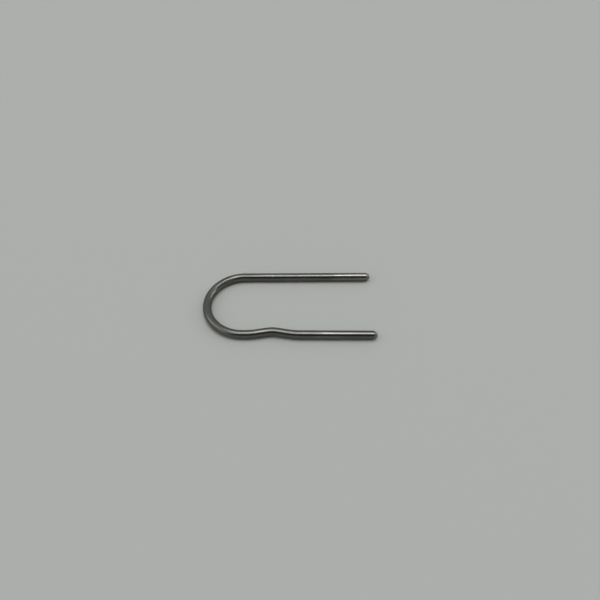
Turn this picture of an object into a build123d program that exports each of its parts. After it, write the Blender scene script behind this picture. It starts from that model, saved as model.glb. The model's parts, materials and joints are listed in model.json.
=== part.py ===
from build123d import *
import os
from math import cos, radians, sin

# Fixing pin: one length of round spring wire, bent into a U.
# It lies flat on z = 0, with the bend towards -X and the open end towards +X.
# The origin is under the middle of its bounding box. Lengths are in millimetres, angles in degrees.

# Wire and overall size
wire_diameter = 2.0
overall_length = 40.3
inside_width = 15.25  # between the legs, where they leave the bend
leg_splay = 0.46  # each leg opens outwards by this angle

# Detent: the shallow inward kink in one leg that snaps the pin home
detent_start = 1.95  # from the end of the bend to the first foot
detent_length = 9.9  # from foot to foot
detent_height = 0.91  # where the two flanks would meet, above the line of the leg
detent_foot_radius = 13.0
detent_crest_radius = 7.0

# Bevelled lead-in at both tips
tip_bevel_length = 0.8  # along the wire
tip_bevel_depth = 0.46  # in from its surface
tip_edge_radius = 0.12

# Places that follow from those sizes
wire_radius = wire_diameter / 2
bend_radius = inside_width / 2 + wire_radius
tip_x = overall_length / 2
bend_centre_x = bend_radius + wire_radius - tip_x
leg_root_x = bend_centre_x - bend_radius * sin(radians(leg_splay))
leg_length = (tip_x - leg_root_x) / cos(radians(leg_splay))

with BuildPart() as fixing_pin:
    # The wire's centreline: the half-round bend, the plain leg, and the leg with the detent
    with BuildLine() as centreline:
        bend_centre = (bend_centre_x, 0, wire_radius)
        bend = CenterArc(bend_centre, bend_radius, 90 + leg_splay, 180 - 2 * leg_splay)
        plain_leg = Line(bend @ 0 - (bend % 0) * leg_length, bend @ 0)

        along = bend % 1
        inward = along.rotate(Axis.Z, 90)
        first_foot = bend @ 1 + along * detent_start
        crest = first_foot + along * detent_length / 2 + inward * detent_height
        second_foot = first_foot + along * detent_length
        detent_leg_tip = bend @ 1 + along * leg_length
        FilletPolyline(
            bend @ 1,
            first_foot,
            crest,
            second_foot,
            detent_leg_tip,
            radius=[detent_foot_radius, detent_crest_radius, detent_foot_radius],
        )

    # The round section, carried along the whole centreline
    with BuildSketch(Plane(origin=plain_leg @ 0, z_dir=plain_leg % 0)):
        Circle(wire_radius)
    sweep(path=centreline.wire())

    # Both tips are bevelled, and tumbling has rounded the two edges of each bevel
    for tip in fixing_pin.faces().filter_by(GeomType.PLANE):
        chamfer(tip.edges(), tip_bevel_depth, tip_bevel_length, reference=tip)
    bevels = fixing_pin.faces().filter_by(GeomType.CONE)
    fillet(bevels.edges().filter_by(GeomType.CIRCLE), tip_edge_radius)

fixing_pin.part.label = "fixing_pin"
os.makedirs("parts", exist_ok=True)
export_step(fixing_pin.part, "parts/fixing_pin.step")
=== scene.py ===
import json
from math import atan2, cos, hypot, pi, radians, sin, sqrt, tan

import bpy
import numpy as np
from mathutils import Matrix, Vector


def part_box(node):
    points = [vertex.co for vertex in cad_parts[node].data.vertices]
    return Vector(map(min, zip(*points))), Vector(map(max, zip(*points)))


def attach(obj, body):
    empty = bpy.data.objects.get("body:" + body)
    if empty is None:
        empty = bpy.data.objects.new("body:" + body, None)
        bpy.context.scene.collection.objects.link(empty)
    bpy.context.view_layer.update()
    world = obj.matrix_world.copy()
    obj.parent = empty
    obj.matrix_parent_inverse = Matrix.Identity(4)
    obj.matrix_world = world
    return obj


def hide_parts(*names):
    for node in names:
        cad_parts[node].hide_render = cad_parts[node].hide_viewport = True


# Fixing pin: one length of drawn spring wire, bent into a U, that lies flat on a pale floor.
# Lengths are in metres, in the frame of the solid.

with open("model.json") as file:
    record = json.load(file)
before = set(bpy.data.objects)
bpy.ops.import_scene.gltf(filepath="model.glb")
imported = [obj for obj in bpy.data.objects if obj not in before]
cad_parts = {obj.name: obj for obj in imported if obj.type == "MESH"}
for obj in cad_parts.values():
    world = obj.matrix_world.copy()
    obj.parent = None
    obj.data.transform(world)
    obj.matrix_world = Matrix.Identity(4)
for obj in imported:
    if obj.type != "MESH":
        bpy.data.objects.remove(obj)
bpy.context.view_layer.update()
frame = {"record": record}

MM = 0.001

# The wire and its bend, from the frame
mounts = {mount["name"]: mount for mount in frame["record"]["mounts"]}
pin_low, pin_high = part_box("fixing_pin")
wire_radius = mounts["plain_leg"]["dims"]["r_mm"] * MM
leg_axis = mounts["plain_leg"]["axis"]
leg_splay = atan2(leg_axis[1], leg_axis[0])
bend_centre_x = mounts["groove_seat"]["pos_m"][0]
bend_radius = bend_centre_x - pin_low.x - wire_radius
leg_root_x = bend_centre_x - bend_radius * sin(leg_splay)
leg_root_y = bend_radius * cos(leg_splay)
leg_length = (pin_high.x - leg_root_x) / cos(leg_splay)

# The detent, as in the solid
detent_start = 1.95 * MM
detent_length = 9.9 * MM
detent_height = 0.91 * MM
detent_foot_radius = 13.0 * MM
detent_crest_radius = 7.0 * MM

# The bevelled tips, as in the solid
tip_bevel_length = 0.8 * MM
tip_bevel_depth = 0.46 * MM
tip_edge_radius = 0.12 * MM

# Small nicks in the plain leg: place from its tip, angle round the wire, length, width and depth
nicks = [
    (23.7 * MM, radians(80), 0.7 * MM, 0.6 * MM, 0.018 * MM),
    (8.9 * MM, radians(104), 0.4 * MM, 0.4 * MM, 0.012 * MM),
]

# How finely the wire is drawn
steps_round = 96
steps_tip = 48
steps_between = 4  # steps of the centreline from one ring of points to the next
ring_distance = 0.1 * MM


def linear(code):
    """An sRGB hex colour as linear RGBA."""
    parts = np.array([int(code[i:i + 2], 16) for i in (1, 3, 5)]) / 255
    parts = np.where(parts <= 0.04045, parts / 12.92, ((parts + 0.055) / 1.055) ** 2.4)
    return (*parts.tolist(), 1.0)


def add(tree, kind, sockets=None, **settings):
    """
    Adds a node, with its settings, its socket values and its links from other sockets.

    A Mix node's sockets are numbered: 0 is its share, 2 and 3 are its values, 6 and 7 its colours.
    """
    node = tree.nodes.new(kind)
    for name, value in settings.items():
        setattr(node, name, value)
    for name, value in (sockets or {}).items():
        if isinstance(value, bpy.types.NodeSocket):
            tree.links.new(value, node.inputs[name])
        else:
            node.inputs[name].default_value = value
    return node


def turned(runs, stations):
    """
    How far a plane line has turned at given distances along it.

    runs holds the length of each stretch and the angle it turns through. The turns add up, and
    grow evenly along an arc.
    """
    lengths, turns = np.array(runs).T
    ends = np.concatenate([[0], np.cumsum(lengths)])
    return np.interp(stations, ends, np.concatenate([[0], np.cumsum(turns)]))


def trace(runs, start, heading, stations):
    """
    A plane line made of straight runs and tangent arcs, at given distances along it.

    The place is the running sum of the steps along the heading, which is the starting heading plus
    the turn so far, taken at the middle of each step. Returns places and headings.
    """
    middle = heading + turned(runs, (stations[1:] + stations[:-1]) / 2)
    steps = np.diff(stations)[:, None] * np.stack([np.cos(middle), np.sin(middle)], 1)
    places = np.array(start) + np.concatenate([np.zeros((1, 2)), np.cumsum(steps, 0)])
    return places, heading + turned(runs, stations)


def bending_runs():
    """
    The wire's runs, from the plain tip round the bend and over the detent to the other tip.

    Each is a length and the angle that it turns through. An arc is as long as its radius times its
    angle, and takes its radius times the tangent of half its angle off the run on either side.
    """
    bend_turn = pi - 2 * leg_splay
    flank_angle = atan2(detent_height, detent_length / 2)
    foot_cut = detent_foot_radius * tan(flank_angle / 2)
    crest_cut = detent_crest_radius * tan(flank_angle)
    flank = hypot(detent_height, detent_length / 2) - foot_cut - crest_cut
    foot = (detent_foot_radius * flank_angle, flank_angle)
    return [
        (leg_length, 0),
        (bend_radius * bend_turn, bend_turn),
        (detent_start - foot_cut, 0),
        foot,
        (flank, 0),
        (detent_crest_radius * 2 * flank_angle, -2 * flank_angle),
        (flank, 0),
        foot,
        (leg_length - detent_start - detent_length - foot_cut, 0),
    ]


def tip_outline():
    """
    The outline of a tip, as depth behind the tip and radius from the wire's axis.

    It runs out across the flat end, rounds the first edge, follows the bevel, rounds the second
    edge and ends on the wire's full radius.
    """
    slope = atan2(tip_bevel_depth, tip_bevel_length)
    face_cut = tip_edge_radius * tan((pi / 2 - slope) / 2)
    rim_cut = tip_edge_radius * tan(slope / 2)
    runs = [
        (wire_radius - tip_bevel_depth - face_cut, 0),
        (tip_edge_radius * (pi / 2 - slope), slope - pi / 2),
        (hypot(tip_bevel_length, tip_bevel_depth) - face_cut - rim_cut, 0),
        (tip_edge_radius * slope, -slope),
    ]
    total = sum(length for length, turn in runs)
    outline, way = trace(runs, (0, 0), pi / 2, np.linspace(0, total, steps_tip))
    return outline[:, 0], outline[:, 1]


def wire_profile(runs):
    """
    How far along the wire each ring of points lies, and its radius.

    The rings follow the tip's outline at both ends. Between the tips they lie at even distances
    and have the wire's full radius.
    """
    total = sum(length for length, turn in runs)
    depth, radius = tip_outline()
    body_count = int((total - 2 * depth[-1]) / ring_distance)
    body = np.linspace(depth[-1], total - depth[-1], body_count)[1:-1]
    stations = np.concatenate([depth, body, total - depth[::-1]])
    radii = np.concatenate([radius, np.full(len(body), wire_radius), radius[::-1]])
    return stations, radii


def centreline(runs, stations):
    """The wire's centreline at its rings, traced in finer steps. Returns places and headings."""
    even = np.linspace(0, stations[-1], steps_between * len(stations))
    fine = np.unique(np.concatenate([stations, even]))
    tip = (leg_root_x + leg_length * cos(leg_splay), leg_root_y + leg_length * sin(leg_splay))
    places, headings = trace(runs, tip, pi + leg_splay, fine)
    at_rings = np.searchsorted(fine, stations)
    return places[at_rings], headings[at_rings]


def nicked_section(stations, radii, angle):
    """
    The wire's radius at each ring and angle.

    It is the ring's own radius. Each nick takes its depth off it, fading as a bell curve along the
    wire and round it.
    """
    section = np.repeat(radii[:, None], steps_round, axis=1)
    for place, around, length, width, depth in nicks:
        along = (stations[:, None] - place) / (length / 2)
        across = wire_radius * (angle - around) / (width / 2)
        section -= depth * np.exp(-along**2 - across**2)
    return section


def in_order(values):
    """
    Values on the rings, in the order of the mesh's points.

    The first and the last ring have no radius, so each is one point, and these two come last.
    """
    return np.concatenate([values[1:-1].reshape(-1, values.shape[-1]), values[0, :1], values[-1, :1]])


def ring_faces(count):
    """A number of rings joined by four-sided faces, with a fan of triangles at each tip."""
    index = np.arange(count * steps_round).reshape(count, steps_round)
    beside = np.roll(index, -1, axis=1)
    quads = np.stack([index[:-1], beside[:-1], beside[1:], index[1:]], -1).reshape(-1, 4)
    first_point = np.full(steps_round, count * steps_round)
    last_point = first_point + 1
    first_fan = np.stack([first_point, beside[0], index[0]], -1)
    last_fan = np.stack([last_point, index[-1], beside[-1]], -1)
    return quads.tolist() + first_fan.tolist() + last_fan.tolist()


def flat_pattern(stations, radii):
    """
    Where the faces' corners lie on the wire's flat pattern, in the order of the faces.

    The wire is slit along one side, rolled out flat and cut into equal strips, which lie one above
    another. A corner's U is how far it lies along its strip, and its V is its angle round the wire,
    both within a narrow border. The tips are spread out along it, to keep their turned rings sharp.
    """
    strips = 4
    border = 0.01
    tip_spread = 4
    steps = np.hypot(np.diff(stations), np.diff(radii))
    steps[:steps_tip] *= tip_spread
    steps[-steps_tip:] *= tip_spread
    reach = np.concatenate([[0], np.cumsum(steps)])

    # A face's four corners, as rings along the wire and columns round it
    ring = np.arange(len(steps))[:, None, None] + np.array([0, 0, 1, 1])
    column = np.arange(steps_round)[None, :, None] + np.array([0, 1, 1, 0])
    along = strips * reach[ring] / reach[-1]
    strip = np.floor(along.mean(2, keepdims=True))
    inside = 1 - 2 * border
    u = border + inside * (along - strip)
    v = (strip + border + inside * (1 - column / steps_round)) / strips
    corners = np.stack(np.broadcast_arrays(u, v), -1)

    # At each tip two corners of a face meet in one point
    first, last = corners[0], corners[-1]
    first_fan = np.stack([first[:, :2].mean(1), first[:, 2], first[:, 3]], 1)
    last_fan = np.stack([last[:, 2:].mean(1), last[:, 0], last[:, 1]], 1)
    return np.concatenate([faces.reshape(-1, 2) for faces in (corners[1:-1], first_fan, last_fan)])


def wire_piece():
    """
    The bent wire: a circle carried along the centreline, closed at both tips.

    A point lies at the centreline's place at its ring, plus the section's radius there times the
    cosine of its angle along the sideways normal and the sine along Z.

    Three attributes go with the points. straight_wire is where a point lay before the wire was
    bent. bending is the wire's radius over the radius of its bend, evened out over a short length.
    cut is 1 on the bevels and ends, where the drawn surface was cut away.
    """
    bending_reach = 1.0 * MM
    bevel_rim = 0.03 * MM
    runs = bending_runs()
    stations, radii = wire_profile(runs)
    line, way = centreline(runs, stations)

    angle = np.linspace(0, 2 * pi, steps_round, endpoint=False)
    section = nicked_section(stations, radii, angle)
    sideways = section * np.cos(angle)
    upwards = section * np.sin(angle)
    x = line[:, :1] - sideways * np.sin(way)[:, None]
    y = line[:, 1:] + sideways * np.cos(way)[:, None]
    rings = np.stack([x, y, wire_radius + upwards], -1)

    along = np.repeat(stations[:, None], steps_round, axis=1)
    straight_wire = np.stack([sideways, upwards, along], -1)
    near = bending_reach / 2
    turn = turned(runs, stations + near) - turned(runs, stations - near)
    bending = wire_radius * np.abs(turn) / bending_reach
    cut = np.clip((wire_radius - radii) / bevel_rim, 0, 1)

    mesh = bpy.data.meshes.new("fixing_pin_wire")
    mesh.from_pydata(in_order(rings).tolist(), [], ring_faces(len(stations) - 2))
    mesh.polygons.foreach_set("use_smooth", np.ones(len(mesh.polygons), bool))
    # The wire's flat pattern, as a UV map of this name
    pattern = mesh.uv_layers.new(name="OFBake")
    pattern.uv.foreach_set("vector", flat_pattern(stations, radii).astype(np.float32).ravel())
    kept = mesh.attributes.new("straight_wire", "FLOAT_VECTOR", "POINT")
    kept.data.foreach_set("vector", in_order(straight_wire).astype(np.float32).ravel())
    for name, shares in (("bending", bending), ("cut", cut)):
        kept = mesh.attributes.new(name, "FLOAT", "POINT")
        on_rings = np.repeat(shares[:, None, None], steps_round, axis=1)
        kept.data.foreach_set("value", in_order(on_rings).astype(np.float32).ravel())
    mesh.update()
    piece = bpy.data.objects.new("fixing_pin_wire", mesh)
    bpy.context.scene.collection.objects.link(piece)
    return piece


def drawn_spring_steel():
    """
    Cold-drawn stainless spring wire, semi-bright.

    The die leaves lines along the wire, fine ones and broader streaks, which break the highlights
    into long threads. A thin film of drawing soap lies over it in patches, darker and duller, and
    is rubbed off the end of the plain leg. Where the wire was bent, the stretched surface is duller
    too. The bevels were turned after drawing: fine rings in barer, brighter steel.
    """
    fine_spacing = 0.08 * MM  # real die lines are finer still: drawn coarse enough to show
    fine_length = 6 * MM
    streak_spacing = 0.25 * MM
    streak_length = 16 * MM
    streak_share = 0.65
    patch_width = 2.2 * MM
    patch_length = 7 * MM
    line_share = 0.4  # how much the lines, and not the patches, say where the film is thin
    rubbed_length = 9.4 * MM  # at most, from the tip
    rubbed_unevenness = 2 * MM
    rubbed_fade = 0.8 * MM
    rubbed_share = 0.7
    ring_spacing = 0.05 * MM  # coarser than real, as the die lines are
    line_relief = 0.012 * MM
    ring_relief = 0.001 * MM
    film_roughness = 0.22
    clean_roughness = 0.07
    cut_roughness = 0.2
    bend_dulling = 0.5  # times bending, added to the roughness
    material = bpy.data.materials.new("drawn_stainless_spring_wire")
    material.use_nodes = True
    tree = material.node_tree
    tree.nodes.clear()
    place = add(tree, "ShaderNodeAttribute", attribute_name="straight_wire").outputs["Vector"]
    bending = add(tree, "ShaderNodeAttribute", attribute_name="bending").outputs["Fac"]
    cut = add(tree, "ShaderNodeAttribute", attribute_name="cut").outputs["Fac"]

    # Each mark is noise stretched along the wire: its width, its length and its finer detail
    marks = []
    for width, length, detail in (
        (fine_spacing, fine_length, 2.0),
        (streak_spacing, streak_length, 2.0),
        (patch_width, patch_length, 4.0),
    ):
        stretched = add(
            tree,
            "ShaderNodeMapping",
            {"Vector": place, "Scale": (1 / width, 1 / width, 1 / length)},
        )
        noise = add(
            tree,
            "ShaderNodeTexNoise",
            {"Vector": stretched.outputs["Vector"], "Scale": 1.0, "Detail": detail, "Roughness": 0.6},
        )
        # Noise seldom leaves the middle of its range, so that middle is spread over all of it
        spread = add(
            tree,
            "ShaderNodeMapRange",
            {"Value": noise.outputs["Fac"], "From Min": 0.3, "From Max": 0.7},
        )
        marks.append(spread.outputs["Result"])
    fine, streaks, patches = marks
    lines = add(tree, "ShaderNodeMix", {0: streak_share, 2: fine, 3: streaks}).outputs[0]

    # Where the film is thin, and where it is rubbed off, further along some streaks than others
    as_drawn = add(tree, "ShaderNodeMix", {0: line_share, 2: patches, 3: lines}).outputs[0]
    from_tip = add(tree, "ShaderNodeSeparateXYZ", {"Vector": place}).outputs["Z"]
    uneven = add(
        tree,
        "ShaderNodeMath",
        {0: streaks, 1: rubbed_unevenness, 2: from_tip},
        operation="MULTIPLY_ADD",
    )
    rubbed = add(
        tree,
        "ShaderNodeMapRange",
        {
            "Value": uneven.outputs["Value"],
            "From Min": rubbed_length + rubbed_fade,
            "From Max": rubbed_length,
            "To Max": rubbed_share,
        },
    )
    clean = add(tree, "ShaderNodeMix", {0: rubbed.outputs["Result"], 2: as_drawn, 3: 1.0}).outputs[0]

    drawn_colour = add(
        tree,
        "ShaderNodeMix",
        {0: clean, 6: linear("#5A5956"), 7: linear("#7F7E7A")},
        data_type="RGBA",
    )
    colour = add(
        tree,
        "ShaderNodeMix",
        {0: cut, 6: drawn_colour.outputs[2], 7: linear("#7C7B78")},
        data_type="RGBA",
    )
    drawn_roughness = add(
        tree,
        "ShaderNodeMapRange",
        {"Value": clean, "To Min": film_roughness, "To Max": clean_roughness},
    )
    dulled = add(
        tree,
        "ShaderNodeMath",
        {0: bending, 1: bend_dulling, 2: drawn_roughness.outputs["Result"]},
        operation="MULTIPLY_ADD",
    )
    roughness = add(tree, "ShaderNodeMix", {0: cut, 2: dulled.outputs["Value"], 3: cut_roughness})

    # A wave's rings lie a tenth of pi apart at scale 1
    rings = add(
        tree,
        "ShaderNodeTexWave",
        {"Vector": place, "Scale": 0.1 * pi / ring_spacing, "Distortion": 1.0},
        wave_type="RINGS",
        rings_direction="Z",
    )
    height = add(tree, "ShaderNodeMix", {0: cut, 2: lines, 3: rings.outputs["Fac"]})
    relief = add(tree, "ShaderNodeMix", {0: cut, 2: line_relief, 3: ring_relief})
    bump = add(
        tree,
        "ShaderNodeBump",
        {"Height": height.outputs[0], "Strength": 1.0, "Distance": relief.outputs[0]},
    )
    shader = add(
        tree,
        "ShaderNodeBsdfPrincipled",
        {
            "Base Color": colour.outputs[2],
            "Metallic": 1.0,
            "Specular Tint": linear("#DADADA"),
            "Roughness": roughness.outputs[0],
            "Normal": bump.outputs["Normal"],
        },
    )
    add(tree, "ShaderNodeOutputMaterial", {"Surface": shader.outputs["BSDF"]})
    return material


def painted_board():
    """Pale grey painted board, matt, so that it shows the pin's soft shadow and no reflection."""
    material = bpy.data.materials.new("matt_painted_board")
    material.use_nodes = True
    tree = material.node_tree
    tree.nodes.clear()
    shader = add(
        tree,
        "ShaderNodeBsdfPrincipled",
        {"Base Color": linear("#B9BBB8"), "Roughness": 0.9, "Specular IOR Level": 0.2},
    )
    add(tree, "ShaderNodeOutputMaterial", {"Surface": shader.outputs["BSDF"]})
    return material


def floor():
    """A flat square sheet under the pin, at z = 0."""
    half = 1.0
    corners = [(-half, -half, 0), (half, -half, 0), (half, half, 0), (-half, half, 0)]
    mesh = bpy.data.meshes.new("floor")
    mesh.from_pydata(corners, [], [(0, 1, 2, 3)])
    sheet = bpy.data.objects.new("floor", mesh)
    bpy.context.scene.collection.objects.link(sheet)
    sheet.data.materials.append(painted_board())


def lamp(name, east, north, spread, share):
    """
    A soft rectangular lamp that faces the pin.

    east and north are the X and Y of the unit vector towards it, and spread is its width and height
    as shares of its distance. share is how much of a white floor's full brightness it gives there,
    which sets its power.
    """
    distance = 3.0
    height = sqrt(1 - east**2 - north**2)
    towards = Vector((east, north, height))
    data = bpy.data.lights.new(name, "AREA")
    data.shape = "RECTANGLE"
    data.size = spread[0] * distance
    data.size_y = spread[1] * distance
    data.energy = share * pi**2 * distance**2 / height
    light = bpy.data.objects.new(name, data)
    light.location = towards * distance
    light.rotation_euler = towards.to_track_quat("Z", "Y").to_euler()
    bpy.context.scene.collection.objects.link(light)


def lamps():
    """A softbox overhead, with a key, a strip and two panels beside it."""
    lamp("overhead_softbox", 0.0, 0.12, (0.57, 0.72), 0.235)
    lamp("key_panel", 0.105, 0.17, (0.067, 0.233), 0.021)
    lamp("right_strip", 0.22, 0.13, (0.083, 0.433), 0.07)
    lamp("right_panel", 0.83, 0.25, (0.417, 0.367), 0.042)
    lamp("left_panel", -0.75, 0.07, (0.5, 0.667), 0.045)


def bright_room():
    """
    A plain bright room with three darker sides, which give the wire its dark lines.

    Low down it is as bright as the far end of the floor, so that no horizon shows.
    """
    room_level = 0.8
    low_level = 0.41
    low_top = 0.25  # the height of a direction where the low band ends
    room_foot = 0.42  # and where the room has its own brightness
    # Each side's direction, the cosines where it starts and is full, and the share that it takes away
    darker_sides = [
        ((0.0, -0.85, 0.53), 0.66, 0.95, 0.92),
        ((0.91, -0.3, 0.28), 0.8, 0.95, 0.9),
        ((0.0, 0.8, 0.6), 0.3, 0.8, 0.4),
    ]
    world = bpy.data.worlds.new("bright_room")
    bpy.context.scene.world = world
    world.use_nodes = True
    tree = world.node_tree
    tree.nodes.clear()
    towards = add(tree, "ShaderNodeTexCoord").outputs["Generated"]
    level = room_level
    for direction, outer, inner, taken in darker_sides:
        beside = add(tree, "ShaderNodeVectorMath", {0: towards, 1: direction}, operation="DOT_PRODUCT")
        remaining = add(
            tree,
            "ShaderNodeMapRange",
            {
                "Value": beside.outputs["Value"],
                "From Min": outer,
                "From Max": inner,
                "To Min": 1.0,
                "To Max": 1 - taken,
            },
            interpolation_type="SMOOTHSTEP",
        )
        dimmed = add(
            tree,
            "ShaderNodeMath",
            {0: level, 1: remaining.outputs["Result"]},
            operation="MULTIPLY",
        )
        level = dimmed.outputs["Value"]
    height = add(tree, "ShaderNodeSeparateXYZ", {"Vector": towards}).outputs["Z"]
    above = add(
        tree,
        "ShaderNodeMapRange",
        {"Value": height, "From Min": low_top, "From Max": room_foot},
        interpolation_type="SMOOTHSTEP",
    )
    strength = add(tree, "ShaderNodeMix", {0: above.outputs["Result"], 2: low_level, 3: level})
    back = add(
        tree,
        "ShaderNodeBackground",
        {"Color": linear("#FCFFFE"), "Strength": strength.outputs[0]},
    )
    add(tree, "ShaderNodeOutputWorld", {"Surface": back.outputs["Background"]})


def camera():
    """The camera over the near leg, tilted from straight down, with a moderately wide lens."""
    data = bpy.data.cameras.new("camera")
    data.sensor_width = 36
    data.lens = 30
    data.clip_start = 1 * MM
    eye = bpy.data.objects.new("camera", data)
    eye.location = (-0.588 * MM, -74.296 * MM, 93.668 * MM)
    eye.rotation_euler = (radians(39.256), radians(-1.231), radians(-1.04))
    bpy.context.scene.collection.objects.link(eye)
    bpy.context.scene.camera = eye


wire = wire_piece()
wire.data.materials.append(drawn_spring_steel())
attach(wire, "root")
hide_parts("fixing_pin")
floor()
lamps()
bright_room()
camera()
bpy.context.scene.view_settings.view_transform = "Standard"
